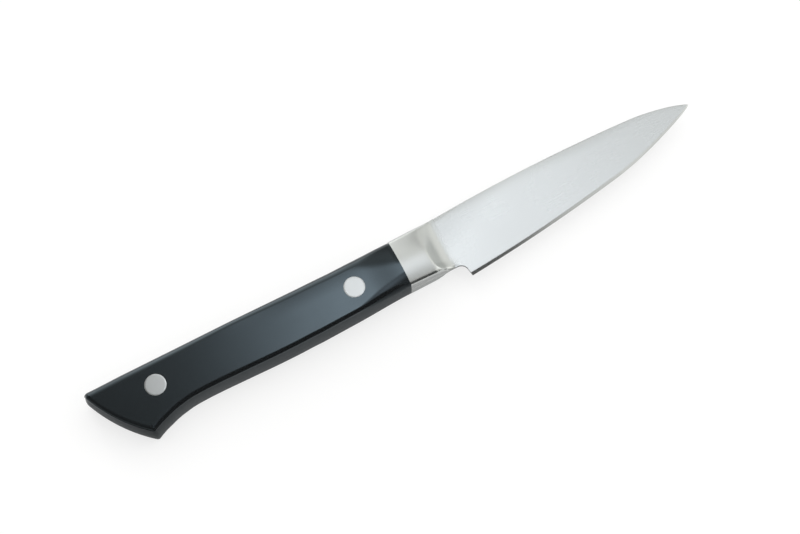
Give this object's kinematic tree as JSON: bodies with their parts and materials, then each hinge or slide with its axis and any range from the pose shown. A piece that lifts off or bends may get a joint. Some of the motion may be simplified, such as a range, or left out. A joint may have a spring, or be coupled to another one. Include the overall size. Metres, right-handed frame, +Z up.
{
  "type": "paring knife",
  "caption": "Small kitchen knife with a flat-ground pointed blade, a coved steel bolster and a black riveted handle with a flared butt.",
  "frame": {"origin": "midway between the two handle rivets, on the flat of the left scale that the knife lies on", "axes": "+X along the knife towards the tip, +Y towards the spine, +Z up through the thickness"},
  "size_m": [0.1923, 0.0227, 0.012],
  "materials": {
    "blade_steel": "fine satin",
    "bolster_steel": "polished",
    "handle_black": "semi-gloss",
    "rivet_steel": "polished"
  },
  "bodies": {
    "root": {"blade": "blade_steel", "bolster_right": "bolster_steel", "bolster_left": "bolster_steel", "handle_scale_right": "handle_black", "handle_scale_left": "handle_black", "front_rivet_barrel": "rivet_steel", "front_rivet_pin": "rivet_steel", "rear_rivet_barrel": "rivet_steel", "rear_rivet_pin": "rivet_steel"}
  },
  "joints": []
}
